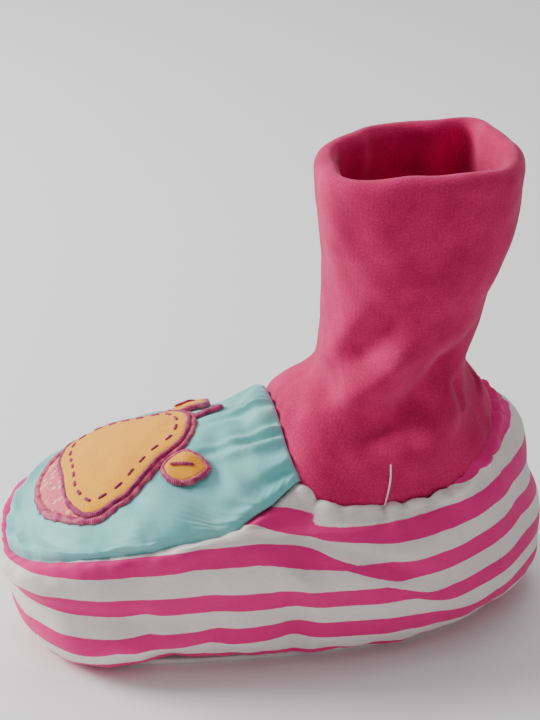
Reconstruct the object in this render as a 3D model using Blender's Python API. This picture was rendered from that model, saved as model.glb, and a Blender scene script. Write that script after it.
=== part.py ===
"""Soft fabric baby bootie with a tall fleece cuff, as separate sewn layers.

Frame: toe at -X, heel at +X, +Z up, origin at the middle of the sole's underside.
Places on the foot and on the cuff are given as (turn, rise): turn goes round the
foot from the toe (0 degrees) past the -Y side to the heel (180 degrees), and rise
goes from 0 at the lower edge to 1 at the upper edge. Lengths are in millimetres
until an object is made.
"""

import math
from collections import namedtuple

import bmesh
import bpy
import numpy as np

MM = 0.001

# Shape of the foot and of the cuff, as level outlines from bottom to top.
# toe, heel: reach from the outline's middle; half: half width; *_power: how square
# that end is (2 is an ellipse); z_*: height at the toe, at the sides and at the heel.
Outline = namedtuple("Outline", "mid toe heel half toe_power heel_power z_toe z_side z_heel")
MIDDLE_X = 0.27  # puts the middle of the whole length at the origin
HEEL_SPREAD = 0.10  # the heel end is this much wider than the middle
SPREAD_LENGTH = 65.0

FOOT_OUTLINES = (
    Outline(-2, 59.5, 61.0, 28.5, 3.2, 2.1, 1.5, 1.5, 1.5),
    Outline(-2, 62.0, 69.5, 31.5, 3.4, 2.0, 6.7, 5.5, 9.0),
    Outline(-2, 64.8, 70.0, 33.4, 3.5, 2.0, 17.9, 20.4, 19.0),
    Outline(-2, 65.0, 66.0, 34.0, 3.4, 2.0, 27.9, 37.0, 38.0),
    Outline(6, 45.5, 55.3, 30.3, 2.8, 2.0, 43.9, 40.6, 49.0),
    Outline(26, 27.0, 27.5, 27.5, 2.9, 2.2, 57.0, 42.5, 55.5),
)
ANKLE = FOOT_OUTLINES[-1]
CUFF_OUTLINES = (
    ANKLE,
    Outline(27.5, 19.0, 20.0, 24.5, 2.2, 2.2, 64.0, 56.0, 63.0),
    Outline(28.0, 17.6, 18.0, 23.0, 2.1, 2.1, 72.0, 70.0, 70.5),
    Outline(31.0, 19.6, 20.2, 22.5, 2.2, 2.2, 85.0, 85.0, 85.0),
    Outline(33.5, 23.0, 22.8, 23.0, 2.3, 2.3, 101.0, 100.0, 101.0),
    Outline(34.0, 24.4, 24.0, 23.6, 2.4, 2.4, 118.0, 117.0, 118.0),
)

# Sole stack, upwards from the ground
SOLE_THICK = 1.2
FOAM_BOTTOM = 1.5
FOAM_TOP = 4.5
INSOLE_BOTTOM = 4.8
INSOLE_TOP = 6.3
FOAM_INSET = 6.2
INSOLE_INSET = 5.6

# Depth of each layer below the outer face
SKIN = (0.0, 1.2)
PADDING = (1.7, 3.1)
LINING = (3.5, 4.7)
ELASTIC = (1.8, 2.5)
FLEECE_DEPTH = 3.4
LINING_RISES = (0.03, 0.92)
ELASTIC_RISES = (0.97, 0.985)

# Edge of the vamp panel, which covers the top of the foot from the toe to the ankle
VAMP_START = 0.625  # rise of the seam that runs round the toe
VAMP_EDGE = ((0.0, 70.0), (0.25, 79.0), (0.5, 77.0), (0.78, 66.0), (1.0, 58.0))

# Where the panels and their padding start and end, as shares of the way from the toe seam to
# the ankle (the wall's padding starts at a rise), and the degrees left clear beside the wall
VAMP_SHARES = (0.024, 1.0)
VAMP_MARGIN = 1.5
VAMP_PADDING_SHARES = (0.07, 0.9)
VAMP_PADDING_MARGIN = 3.4
WALL_PADDING_RISE = 0.02
WALL_PADDING_SHARE = 0.86

# Mesh steps
FRONT_COLUMNS = 14
BACK_COLUMNS = 20
LOW_ROWS = 6
HIGH_ROWS = 6
LINING_ROWS = 10
CUFF_COLUMNS = 34

# The cuff starts just above the ankle seam and folds between two level cuts
CUFF_START = 0.012
FOLD_LOW_Z = 66.0
FOLD_HIGH_Z = 76.0
FOLD_CLEARANCE = 0.6  # between the fold ring and the rings below and above it
CUFF_HINGE = (28.0, 0.0, 71.0)

# Sewn motif on the vamp: a pear lying with its round end at the toe
MOTIF_Y = 3.0
PEAR_SIDE = ((-58.0, 0.0), (-55.5, 10.5), (-47.5, 18.8), (-38.0, 18.2), (-29.5, 12.0), (-22.8, 8.4))
PEAR_TIP_X = -19.5
FELT_TOE_X = -52.0
FELT_INSET = 0.8
SATIN_EDGE_GROWTH = (0.35, 1.9)  # inner and outer edge of the satin stitch, outside the pear
LEAF_SIZE = (5.6, 4.2)
LEAVES = (("leaf_near", -18.6, -13.2, -40.0), ("leaf_far", -18.0, 19.0, 40.0))

# Depths of the motif's layers, negative because they lie on top of the vamp
BACKING = (-0.3, -0.8)
FELT = (-1.1, -2.2)
SATIN_EDGE = (-0.3, -1.7)
LEAF_FELT = (-0.3, -1.5)

# Loose end of thread: turn in degrees and rise of its foot, and what each of its steps adds
THREAD_FOOT = (93.0, 0.03)
THREAD_STEP = (-0.8, 0.022)
THREAD_POINTS = 7
THREAD_LIFT = 0.8
THREAD_RADIUS = 0.2

PINK_FLEECE = ("pink_fleece", (0.68, 0.085, 0.26), 0.95)
STRIPED_COTTON = ("striped_cotton", (0.80, 0.30, 0.48), 0.9)
AQUA_SATIN = ("aqua_satin", (0.46, 0.74, 0.74), 0.6)
WADDING = ("white_wadding", (0.85, 0.85, 0.83), 0.95)
LINING_FLEECE = ("lining_fleece", (0.70, 0.14, 0.32), 0.95)
FOAM = ("sole_foam", (0.82, 0.80, 0.74), 0.9)
SOLE_COTTON = ("sole_cotton", (0.78, 0.76, 0.74), 0.9)
ELASTIC_WHITE = ("elastic_white", (0.86, 0.86, 0.84), 0.7)
MUSTARD_FELT = ("mustard_felt", (0.85, 0.52, 0.12), 0.95)
PRINTED_COTTON = ("printed_cotton", (0.80, 0.38, 0.46), 0.9)
SATIN_THREAD = ("satin_thread", (0.60, 0.08, 0.28), 0.5)
WHITE_THREAD = ("white_thread", (0.88, 0.78, 0.80), 0.7)


def clear_scene():
    for obj in list(bpy.data.objects):
        bpy.data.objects.remove(obj)


def material(finish):
    name, colour, roughness = finish
    found = bpy.data.materials.get(name)
    if found:
        return found
    made = bpy.data.materials.new(name)
    made.use_nodes = True
    shader = made.node_tree.nodes["Principled BSDF"]
    shader.inputs["Base Color"].default_value = (*colour, 1.0)
    shader.inputs["Roughness"].default_value = roughness
    shader.inputs["Metallic"].default_value = 0.0
    return made


def outline_point(outline, turn):
    """The point of a level outline at this turn, a superellipse bent up or down at its ends."""
    c = math.cos(turn)
    s = math.sin(turn)
    toe_share = 0.5 * (1 + c)
    power = outline.toe_power * toe_share + outline.heel_power * (1 - toe_share)
    reach = outline.toe if c > 0 else outline.heel
    x = outline.mid - reach * math.copysign(abs(c) ** (2 / power), c)
    y = -outline.half * math.copysign(abs(s) ** (2 / power), s)
    if outline.mid < ANKLE.mid:
        y *= 1 + HEEL_SPREAD * x / SPREAD_LENGTH
    z = outline.z_side * s * s + (outline.z_toe if c > 0 else outline.z_heel) * c * c
    return np.array((x + MIDDLE_X, y, z))


def smooth_between(points, share):
    """A point of the smooth curve through the given points."""
    points = [2 * points[0] - points[1], *points, 2 * points[-1] - points[-2]]
    place = min(max(share, 0.0), 1.0) * (len(points) - 3)
    first = min(int(place), len(points) - 4)
    f = place - first
    a, b, c, d = points[first : first + 4]
    bend = 2 * a - 5 * b + 4 * c - d
    twist = 3 * b - 3 * c + d - a
    return 0.5 * (2 * b + (c - a) * f + bend * f * f + twist * f**3)


def foot(turn, rise):
    return smooth_between([outline_point(o, turn) for o in FOOT_OUTLINES], rise)


def cuff(turn, rise):
    return smooth_between([outline_point(o, turn) for o in CUFF_OUTLINES], rise)


def below(surface, place, depth):
    """The point this deep under the surface, or above it where depth is negative."""
    turn, rise = place
    step = 0.004
    low = min(max(rise - step, 0.0), 1.0 - 2 * step)
    along = surface(turn + step, rise) - surface(turn - step, rise)
    up = surface(turn, low + 2 * step) - surface(turn, low)
    normal = np.cross(along, up)
    return surface(turn, rise) - depth * normal / np.linalg.norm(normal)


def new_object(name, points, faces, finish):
    mesh = bpy.data.meshes.new(name)
    mesh.from_pydata([tuple(MM * value for value in point) for point in points], [], faces)
    bm = bmesh.new()
    bm.from_mesh(mesh)
    bmesh.ops.recalc_face_normals(bm, faces=bm.faces)
    bm.to_mesh(mesh)
    bm.free()
    mesh.materials.append(material(finish))
    mesh.shade_smooth()
    mesh.set_sharp_from_angle(angle=math.radians(40))
    obj = bpy.data.objects.new(name, mesh)
    bpy.context.scene.collection.objects.link(obj)
    return obj


def layer(name, surface, places, faces, depths, finish):
    """A closed layer of cloth between two depths, from a net of places on the surface."""
    points = [below(surface, place, depths[0]) for place in places]
    points += [below(surface, place, depths[1]) for place in places]
    count = len(places)
    owners = {}
    for face in faces:
        for a, b in zip(face, face[1:] + face[:1]):
            owners[(a, b)] = owners.get((a, b), 0) + 1
    rims = [(a, b, b + count, a + count) for a, b in owners if (b, a) not in owners]
    under = [tuple(count + index for index in reversed(face)) for face in faces]
    rims = [tuple(reversed(face)) for face in rims]
    return new_object(name, points, list(faces) + under + rims, finish)


def vamp_half_turn(share):
    """Half the turn that the vamp spans, at this share of the way from its toe seam to the ankle."""
    shares, turns = zip(*VAMP_EDGE)
    return math.radians(np.interp(share, shares, turns))


def back_turns(share):
    """Turns of the columns that run from one edge of the vamp round the heel to the other."""
    half = vamp_half_turn(share)
    span = 2 * math.pi - 2 * half
    return [half + span * i / BACK_COLUMNS for i in range(BACK_COLUMNS + 1)]


def front_turns(share, margin=0.0):
    """Turns of the columns that run across the vamp."""
    half = vamp_half_turn(share) - math.radians(margin)
    return [half * (2 * i / FRONT_COLUMNS - 1) for i in range(FRONT_COLUMNS + 1)]


def belt_places(rise):
    """Places all round the foot at one rise, with a column on each edge of the vamp."""
    share = max(0.0, (rise - VAMP_START) / (1 - VAMP_START))
    turns = back_turns(share) + front_turns(share)[1:-1]
    return [(turn, rise) for turn in turns]


def rise_above_seam(share):
    return VAMP_START + (1 - VAMP_START) * share


def ring_net(rows):
    """Places and faces of a ring of cloth, from rows of places that each go all the way round."""
    columns = len(rows[0])
    faces = []
    for row in range(len(rows) - 1):
        for i in range(columns):
            a = row * columns + i
            b = row * columns + (i + 1) % columns
            faces.append((b, a, a + columns, b + columns))
    return [place for row in rows for place in row], faces


def wall_net(top, bottom=0.0):
    """Places and faces of the side wall: a full belt up to the toe seam, then the sides and heel."""
    rises = [bottom + (VAMP_START - bottom) * row / LOW_ROWS for row in range(LOW_ROWS + 1)]
    places, faces = ring_net([belt_places(rise) for rise in rises])
    first = len(places) - FRONT_COLUMNS - BACK_COLUMNS
    previous = list(range(first, first + BACK_COLUMNS + 1))
    for row in range(1, HIGH_ROWS + 1):
        share = top * row / HIGH_ROWS
        current = list(range(len(places), len(places) + BACK_COLUMNS + 1))
        places += [(turn, rise_above_seam(share)) for turn in back_turns(share)]
        for i in range(BACK_COLUMNS):
            faces.append((previous[i + 1], previous[i], current[i], current[i + 1]))
        previous = current
    return places, faces


def vamp_net(start, top, margin):
    """Places and faces of the panel over the toes, held off the wall by the margin in degrees."""
    places = []
    faces = []
    width = FRONT_COLUMNS + 1
    for row in range(HIGH_ROWS + 1):
        share = start + (top - start) * row / HIGH_ROWS
        places += [(turn, rise_above_seam(share)) for turn in front_turns(share, margin)]
    for row in range(HIGH_ROWS):
        for i in range(FRONT_COLUMNS):
            a = row * width + i
            faces.append((a + 1, a, a + width, a + width + 1))
    return places, faces


def rise_at_height(surface, turn, height):
    """The rise at which the surface reaches this height, found by halving."""
    low = 0.0
    high = 1.0
    for _ in range(24):
        middle = 0.5 * (low + high)
        if surface(turn, middle)[2] < height:
            low = middle
        else:
            high = middle
    return low


def cuff_rows(start, end, count):
    """Rows of places on the cuff between two edges: a height, or None for the ankle seam."""
    turns = [2 * math.pi * i / CUFF_COLUMNS for i in range(CUFF_COLUMNS)]
    edges = []
    for height in (start, end):
        if height is None:
            edges.append([CUFF_START] * CUFF_COLUMNS)
        else:
            edges.append([rise_at_height(cuff, turn, height) for turn in turns])
    rows = []
    for i in range(count + 1):
        share = i / count
        rows.append([(t, a + (b - a) * share) for t, a, b in zip(turns, *edges)])
    return rows


def flat_pad(name, inset, bottom, top, finish):
    """A flat piece of the sole, as wide as the sole edge less the inset."""
    edge = FOOT_OUTLINES[0]
    edge = edge._replace(toe=edge.toe - inset, heel=edge.heel - inset, half=edge.half - inset)
    columns = FRONT_COLUMNS + BACK_COLUMNS
    ring = [outline_point(edge, 2 * math.pi * i / columns) for i in range(columns)]
    points = [(x, y, bottom) for x, y, _ in ring] + [(x, y, top) for x, y, _ in ring]
    faces = [tuple(range(columns)), tuple(range(2 * columns - 1, columns - 1, -1))]
    for i in range(columns):
        after = (i + 1) % columns
        faces.append((i, i + columns, after + columns, after))
    return new_object(name, points, faces, finish)


def place_on_vamp(x, y):
    """The place on the foot that lies at this x and y, found by stepping along the slope."""
    place = np.array((math.atan2(-y, -x - 5.0), 0.8))
    step = 0.002
    for _ in range(30):
        here = foot(*place)[:2]
        by_turn = (foot(place[0] + step, place[1])[:2] - here) / step
        by_rise = (foot(place[0], place[1] + step)[:2] - here) / step
        move = np.linalg.solve(np.column_stack((by_turn, by_rise)), np.array((x, y)) - here)
        place = place + np.clip(move, -0.15, 0.15)
        place[1] = min(max(place[1], 0.55), 0.985)
    return tuple(place)


def closed_curve(points, steps):
    """Even points on a smooth closed curve through the given points."""
    count = len(points)
    curve = []
    for i in range(count):
        near = [np.array(points[(i + k) % count], float) for k in (-1, 0, 1, 2)]
        for k in range(steps):
            curve.append(smooth_between(near, (1 + k / steps) / 3))
    return curve


def pear_outline(toe_x=PEAR_SIDE[0][0], grow=0.0):
    """The pear's edge in plan, cut level at toe_x and grown outwards, as points round its middle."""
    side = [(max(x, toe_x), y) for x, y in PEAR_SIDE]
    corners = side + [(PEAR_TIP_X, 0.0)] + [(x, -y) for x, y in reversed(side[1:])]
    curve = closed_curve(corners, 3)
    centre = sum(curve) / len(curve)
    grown = [point + grow * (point - centre) / np.linalg.norm(point - centre) for point in curve]
    return [(x, y + MOTIF_Y) for x, y in grown]


def patch_net(outline, rings):
    """Places and faces of a patch on the vamp, from its middle out to its edge."""
    middle = np.mean(outline, axis=0)
    places = [place_on_vamp(*middle)]
    count = len(outline)
    for ring in range(1, rings + 1):
        share = ring / rings
        places += [place_on_vamp(*(middle + share * (np.array(p) - middle))) for p in outline]
    faces = [(0, 1 + (i + 1) % count, 1 + i) for i in range(count)]
    for ring in range(rings - 1):
        for i in range(count):
            a = 1 + ring * count + i
            b = 1 + ring * count + (i + 1) % count
            faces.append((a, b, b + count, a + count))
    return places, faces


def edge_net(inner, outer):
    """Places and faces of a band on the vamp between two outlines of equal point count."""
    count = len(inner)
    places = [place_on_vamp(*p) for p in inner] + [place_on_vamp(*p) for p in outer]
    faces = []
    for i in range(count):
        after = (i + 1) % count
        faces.append((i, after, after + count, i + count))
    return places, faces


def leaf_outline(x, y, angle):
    """A leaf's edge in plan: an oval drawn out to a blunt point at its far end."""
    turn = math.radians(angle)
    outline = []
    for i in range(16):
        a = 2 * math.pi * i / 16
        along = LEAF_SIZE[0] * math.cos(a)
        across = LEAF_SIZE[1] * math.sin(a) * (1 - 0.15 * math.cos(a))
        outline.append((
            x + along * math.cos(turn) - across * math.sin(turn),
            y + along * math.sin(turn) + across * math.cos(turn),
        ))
    return outline


def make_sole():
    flat_pad("outsole", 0.0, 0.0, SOLE_THICK, SOLE_COTTON)
    flat_pad("sole_foam", FOAM_INSET, FOAM_BOTTOM, FOAM_TOP, FOAM)
    flat_pad("insole", INSOLE_INSET, INSOLE_BOTTOM, INSOLE_TOP, LINING_FLEECE)


def make_upper():
    places, faces = wall_net(1.0)
    layer("side_wall", foot, places, faces, SKIN, STRIPED_COTTON)
    places, faces = vamp_net(*VAMP_SHARES, VAMP_MARGIN)
    layer("vamp_panel", foot, places, faces, SKIN, AQUA_SATIN)
    places, faces = wall_net(WALL_PADDING_SHARE, WALL_PADDING_RISE)
    layer("side_padding", foot, places, faces, PADDING, WADDING)
    places, faces = vamp_net(*VAMP_PADDING_SHARES, VAMP_PADDING_MARGIN)
    layer("vamp_padding", foot, places, faces, PADDING, WADDING)
    low, high = LINING_RISES
    rises = [low + (high - low) * i / LINING_ROWS for i in range(LINING_ROWS + 1)]
    places, faces = ring_net([belt_places(rise) for rise in (*rises, *ELASTIC_RISES, 1.0)])
    layer("foot_lining", foot, places, faces, LINING, LINING_FLEECE)


def make_ankle_elastic():
    places, faces = ring_net([belt_places(rise) for rise in ELASTIC_RISES])
    layer("ankle_elastic", foot, places, faces, ELASTIC, ELASTIC_WHITE)


def make_cuff():
    """The cuff in three rings, and the hinge that the upper ring turns on."""
    hinge = bpy.data.objects.new("cuff_hinge", None)
    hinge.location = tuple(MM * value for value in CUFF_HINGE)
    bpy.context.scene.collection.objects.link(hinge)
    places, faces = ring_net(cuff_rows(None, FOLD_LOW_Z, 4))
    layer("cuff_lower", cuff, places, faces, (0.0, FLEECE_DEPTH), PINK_FLEECE)
    places, faces = ring_net(cuff_rows(FOLD_LOW_Z + FOLD_CLEARANCE, FOLD_HIGH_Z - FOLD_CLEARANCE, 3))
    layer("cuff_fold", cuff, places, faces, (0.0, FLEECE_DEPTH), PINK_FLEECE)
    rim_z = CUFF_OUTLINES[-1].z_toe
    places, faces = ring_net(cuff_rows(FOLD_HIGH_Z, rim_z, 7))
    upper = layer("cuff_upper", cuff, places, faces, (0.0, FLEECE_DEPTH), PINK_FLEECE)
    upper.parent = hinge
    upper.matrix_parent_inverse.translation = [-MM * value for value in CUFF_HINGE]


def make_motif():
    places, faces = patch_net(pear_outline(), 4)
    layer("pear_backing", foot, places, faces, BACKING, PRINTED_COTTON)
    places, faces = patch_net(pear_outline(toe_x=FELT_TOE_X, grow=-FELT_INSET), 4)
    layer("pear_felt", foot, places, faces, FELT, MUSTARD_FELT)
    places, faces = edge_net(*(pear_outline(grow=growth) for growth in SATIN_EDGE_GROWTH))
    layer("pear_satin_edge", foot, places, faces, SATIN_EDGE, SATIN_THREAD)
    for name, x, y, angle in LEAVES:
        places, faces = patch_net(leaf_outline(x, y, angle), 2)
        layer(name, foot, places, faces, LEAF_FELT, MUSTARD_FELT)


def make_loose_thread():
    """A short end of seam thread that lies up the cuff from the ankle seam."""
    path = []
    for i in range(THREAD_POINTS):
        turn, rise = (start + step * i for start, step in zip(THREAD_FOOT, THREAD_STEP))
        path.append(below(cuff, (math.radians(turn), rise), -THREAD_LIFT))
    curve = bpy.data.curves.new("loose_thread", "CURVE")
    curve.dimensions = "3D"
    curve.bevel_depth = THREAD_RADIUS * MM
    curve.bevel_resolution = 2
    curve.use_fill_caps = True
    spline = curve.splines.new("POLY")
    spline.points.add(len(path) - 1)
    for point, place in zip(spline.points, path):
        point.co = (*(MM * value for value in place), 1.0)
    curve.materials.append(material(WHITE_THREAD))
    obj = bpy.data.objects.new("loose_thread", curve)
    bpy.context.scene.collection.objects.link(obj)


def main():
    clear_scene()
    make_sole()
    make_upper()
    make_ankle_elastic()
    make_cuff()
    make_motif()
    make_loose_thread()


main()
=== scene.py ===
"""The looks of a soft baby bootie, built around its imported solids.

Shapes are worked out in millimetres on two surfaces, the foot and the cuff. A place on
either is a turn (radians, 0 at the toe, a quarter turn at the -Y side, half a turn at the
heel) and a rise (0 at its lower edge, 1 at its upper edge). Reliefs such as seams, gathers
and folds are lengths added along the surface's normal.
"""

import math
from collections import namedtuple

import bpy
import numpy as np
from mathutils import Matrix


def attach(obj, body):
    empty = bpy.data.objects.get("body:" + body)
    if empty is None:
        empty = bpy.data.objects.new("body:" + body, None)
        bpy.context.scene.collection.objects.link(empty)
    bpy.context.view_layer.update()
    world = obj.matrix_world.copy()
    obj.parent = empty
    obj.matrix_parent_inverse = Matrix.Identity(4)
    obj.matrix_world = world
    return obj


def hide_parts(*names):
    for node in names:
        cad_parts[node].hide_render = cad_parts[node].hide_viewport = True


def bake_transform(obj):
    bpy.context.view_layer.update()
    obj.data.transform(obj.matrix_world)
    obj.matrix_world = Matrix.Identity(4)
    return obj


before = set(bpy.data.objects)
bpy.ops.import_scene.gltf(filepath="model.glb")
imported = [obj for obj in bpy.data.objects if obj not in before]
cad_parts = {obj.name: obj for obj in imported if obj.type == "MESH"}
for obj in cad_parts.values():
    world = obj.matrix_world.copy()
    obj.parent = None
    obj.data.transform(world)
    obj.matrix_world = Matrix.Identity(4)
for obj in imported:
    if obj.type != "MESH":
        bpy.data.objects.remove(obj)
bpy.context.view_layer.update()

MM = 0.001
TAU = 2 * math.pi

# ---------------------------------------------------------------- the two surfaces

# A level outline. mid: x of its middle; toe, heel: reach from there; half: half its width;
# *_power: how square that end is (2 is an ellipse); z_*: height at the toe, the sides and the heel;
# far_toe_power: how square the toe's far corner is, where it differs from the near one; z_powers:
# how late the height starts to leave the sides' height, at the toe and at the heel
Outline = namedtuple(
    "Outline",
    "mid toe heel half toe_power heel_power z_toe z_side z_heel far_toe_power z_powers",
    defaults=(None, None),
)
ANKLE_MID = 26
MIDDLE_X = 0.27  # puts the middle of the whole length at the origin
HEEL_SPREAD = 0.10  # the heel end is this much wider than the middle
SPREAD_LENGTH = 65.0
FOOT = (
    Outline(-2, 59.5, 61.0, 28.5, 3.2, 2.1, 1.0, 1.0, 1.0),
    Outline(-2, 62.0, 69.5, 31.5, 3.4, 2.0, 6.7, 5.5, 9.0),
    Outline(-2, 64.8, 70.0, 33.4, 3.5, 2.0, 17.9, 20.4, 19.0),
    Outline(-2, 65.0, 66.0, 34.0, 3.4, 2.0, 27.9, 37.0, 38.0),
    Outline(6, 45.5, 55.3, 30.3, 2.8, 2.0, 43.9, 40.6, 49.0),
    Outline(ANKLE_MID, 27.0, 27.5, 27.5, 5.5, 2.2, 57.0, 42.5, 55.5, 2.9, (2.2, 1.7)),
)
ANKLE = FOOT[-1]
CUFF = (
    ANKLE,
    Outline(27.5, 19.0, 20.0, 24.5, 2.2, 2.2, 64.0, 56.0, 63.0),
    Outline(28.0, 17.6, 18.0, 23.0, 2.1, 2.1, 72.0, 70.0, 70.5),
    Outline(31.0, 19.6, 20.2, 22.5, 2.2, 2.2, 85.0, 85.0, 85.0),
    Outline(33.5, 23.0, 22.8, 23.0, 2.3, 2.3, 101.0, 100.0, 101.0),
    Outline(34.0, 24.4, 24.0, 23.6, 2.4, 2.4, 116.5, 115.5, 116.5),
)
VAMP_START = 0.625  # rise of the vamp's toe seam, which dips at the very toe
TOE_DIP = 0.045
DIP_WIDTH = 0.42
# Half the turn that the vamp spans, in degrees, by share of the way from its toe seam to the ankle
VAMP_EDGE = (
    (0.0, 60.0), (0.08, 63.5), (0.16, 66.5), (0.27, 68.5), (0.4, 67.3),
    (0.52, 63.8), (0.65, 58.5), (0.79, 52.0), (0.91, 45.5), (1.0, 41.5),
)  # fmt: skip

# Depth of each layer below the outer face, and the thickness of the doubled fleece
SKIN = (0.0, 1.2)
PADDING = (1.7, 3.1)
LINING = (3.5, 4.7)
ELASTIC = (1.8, 2.5)
FLEECE = 3.8
RIM_FLEECE = 5.4
CUFF_HEM = 2.2  # how far the cuff's lower edge tucks in
RIM_DIP = -1.8  # at the front of the rim
RIM_LIFT = 1.5  # at its near side


def spline(a, b, c, d, share):
    """The place this share of the way from b to c, on a smooth curve through all four."""
    bend = 2 * a - 5 * b + 4 * c - d
    twist = 3 * b - 3 * c + d - a
    return 0.5 * (2 * b + (c - a) * share + bend * share**2 + twist * share**3)


def unit(vectors):
    return vectors / np.linalg.norm(vectors, axis=1, keepdims=True)


def signed_turn(turn):
    """The same turn, between minus half a turn and half a turn."""
    return np.mod(turn + math.pi, TAU) - math.pi


def lengths_along(points):
    """Length along a line of points, from its first point to each."""
    steps = np.linalg.norm(np.diff(points, axis=0), axis=1)
    return np.concatenate(([0.0], np.cumsum(steps)))


def looped(points):
    """The points with the first one given again at the end."""
    return np.concatenate((points, points[:1]))


def outline_points(outline, turn):
    """A closed curve: squarer at the toe by a high power, and lower at the sides than its ends."""
    c = np.cos(turn)
    s = np.sin(turn)
    toe_share = 0.5 * (1 + c)
    toe_power = outline.toe_power
    if outline.far_toe_power:
        toe_power = outline.far_toe_power + (toe_power - outline.far_toe_power) * 0.5 * (1 + s)
    power = toe_power * toe_share + outline.heel_power * (1 - toe_share)
    radius = (np.abs(c) ** power + np.abs(s) ** power) ** (-1 / power)
    reach = np.where(c > 0, outline.toe, outline.heel)
    x = outline.mid - reach * c * radius
    y = -outline.half * s * radius
    if outline.mid < ANKLE_MID:
        y = y * (1 + HEEL_SPREAD * x / SPREAD_LENGTH)
    end = np.where(c > 0, outline.z_toe, outline.z_heel)
    toe_z_power, heel_z_power = outline.z_powers or (power, power)
    toe_z = 1 - np.minimum(np.abs(s * radius), 1.0) ** toe_z_power
    end_share = np.where(c > 0, toe_z, np.abs(c * radius) ** heel_z_power)
    z = outline.z_side * (1 - end_share) + end * end_share
    return np.stack((x + MIDDLE_X, y, z), -1)


def surface(outlines, turn, rise):
    """Points of a smooth surface through the outlines, at flat arrays of turn and rise."""
    turn, rise = np.broadcast_arrays(np.asarray(turn, float), np.asarray(rise, float))
    levels = np.stack([outline_points(o, turn) for o in outlines])
    below = 2 * levels[:1] - levels[1:2]
    above = 2 * levels[-1:] - levels[-2:-1]
    levels = np.concatenate((below, levels, above))
    place = np.clip(rise, 0, 1) * (len(outlines) - 1)
    first = np.minimum(place.astype(int), len(outlines) - 2)
    every = np.arange(len(turn))
    return spline(*(levels[first + k, every] for k in range(4)), (place - first)[:, None])


def surface_normals(outlines, turn, rise, step=0.006):
    low = np.clip(rise - step, 0, 1 - 2 * step)
    along = surface(outlines, turn + step, rise) - surface(outlines, turn - step, rise)
    up = surface(outlines, turn, low + 2 * step) - surface(outlines, turn, low)
    return unit(np.cross(along, up))


class Table:
    """Values known on an even grid of turn and rise, read between its points."""

    def __init__(self, values):
        self.values = values

    def at(self, turn, rise):
        rows, columns = self.values.shape
        u = np.mod(turn, TAU) / TAU * (columns - 1)
        v = np.clip(rise, 0, 1) * (rows - 1)
        i = np.minimum(v.astype(int), rows - 2)
        j = np.minimum(u.astype(int), columns - 2)
        fv = v - i
        fu = u - j
        low = self.values[i, j] * (1 - fu) + self.values[i, j + 1] * fu
        high = self.values[i + 1, j] * (1 - fu) + self.values[i + 1, j + 1] * fu
        return low * (1 - fv) + high * fv


def length_up(outlines, columns=361, rows=241):
    """Table of the length up the surface from its lower edge, in millimetres."""
    turn, rise = np.meshgrid(np.linspace(0, TAU, columns), np.linspace(0, 1, rows))
    points = surface(outlines, turn.ravel(), rise.ravel()).reshape(rows, columns, 3)
    steps = np.linalg.norm(np.diff(points, axis=0), axis=2)
    return Table(np.concatenate((np.zeros((1, columns)), np.cumsum(steps, axis=0))))


def length_round(outlines, rise, columns=721):
    """Table of the length round the surface from the toe, at one rise, in millimetres."""
    points = surface(outlines, np.linspace(0, TAU, columns), np.full(columns, rise))
    once = lengths_along(points)
    return Table(np.stack((once, once)))


FOOT_UP = length_up(FOOT)
FOOT_ROUND = length_round(FOOT, 0.4)
CUFF_UP = length_up(CUFF)
CUFF_ROUND = length_round(CUFF, 0.6)


# ---------------------------------------------------------------- helpers for reliefs


def smoothstep(low, high, value):
    t = np.clip((value - low) / (high - low), 0, 1)
    return t * t * (3 - 2 * t)


def bell(value, width):
    return np.exp(-((value / width) ** 2))


def wave_noise(points, size, seed):
    """Smooth noise between about -1 and 1, from waves of random directions."""
    random = np.random.default_rng(seed)
    total = np.zeros(len(points))
    for _ in range(7):
        direction = random.normal(size=3)
        direction *= TAU / size / np.linalg.norm(direction) * random.uniform(0.6, 1.5)
        total += np.sin(points @ direction + random.uniform(0, TAU))
    return total / 3.0


def ripple(length, pitch, seed):
    """A wave along a seam whose pitch wanders, between -1 and 1."""
    random = np.random.default_rng(seed)
    shift = np.zeros_like(length)
    for factor in (2.3, 3.7, 5.9):
        shift += 0.8 * np.sin(length * TAU / (pitch * factor) + random.uniform(0, TAU))
    return np.cos(length * TAU / pitch + shift)


NEAR_CHUNK = 4000  # points measured at a time, to save memory


class Line:
    """A line in space that can tell how far points are from it, and where along it they are."""

    def __init__(self, points):
        self.points = np.asarray(points, float)
        self.length = lengths_along(self.points)

    def near(self, points):
        distance = np.empty(len(points))
        along = np.empty(len(points))
        for start in range(0, len(points), NEAR_CHUNK):
            chunk = slice(start, start + NEAR_CHUNK)
            gaps = np.linalg.norm(points[chunk, None, :] - self.points[None, :, :], axis=2)
            nearest = gaps.argmin(axis=1)
            distance[chunk] = gaps[np.arange(len(nearest)), nearest]
            along[chunk] = self.length[nearest]
        return distance, along


def fold(points, path, width, depth):
    """A ridge (or a valley, with a negative depth) along a path of corners, fading at its ends."""
    corners = [np.array(corner, float) for corner in path]
    steps = np.linspace(0, 1, 16)[:, None]
    dense = [a + (b - a) * steps[:-1] for a, b in zip(corners, corners[1:])]
    line = Line(np.concatenate((*dense, corners[-1][None])))
    distance, along = line.near(points)
    share = along / line.length[-1]
    fade = smoothstep(0, 0.3, share) * smoothstep(1, 0.7, share)
    return depth * bell(distance, width) * (0.25 + 0.75 * fade)


def folds(points, creases):
    return sum(fold(points, *crease) for crease in creases)


# ---------------------------------------------------------------- seams


def vamp_half_turn(share):
    """Half the turn that the vamp spans, from its toe seam (share 0) to the ankle (share 1)."""
    shares, turns = zip(*VAMP_EDGE)
    steps = (-0.03, 0.0, 0.03)
    return np.radians(sum(np.interp(share + step, shares, turns) for step in steps) / 3)


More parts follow.
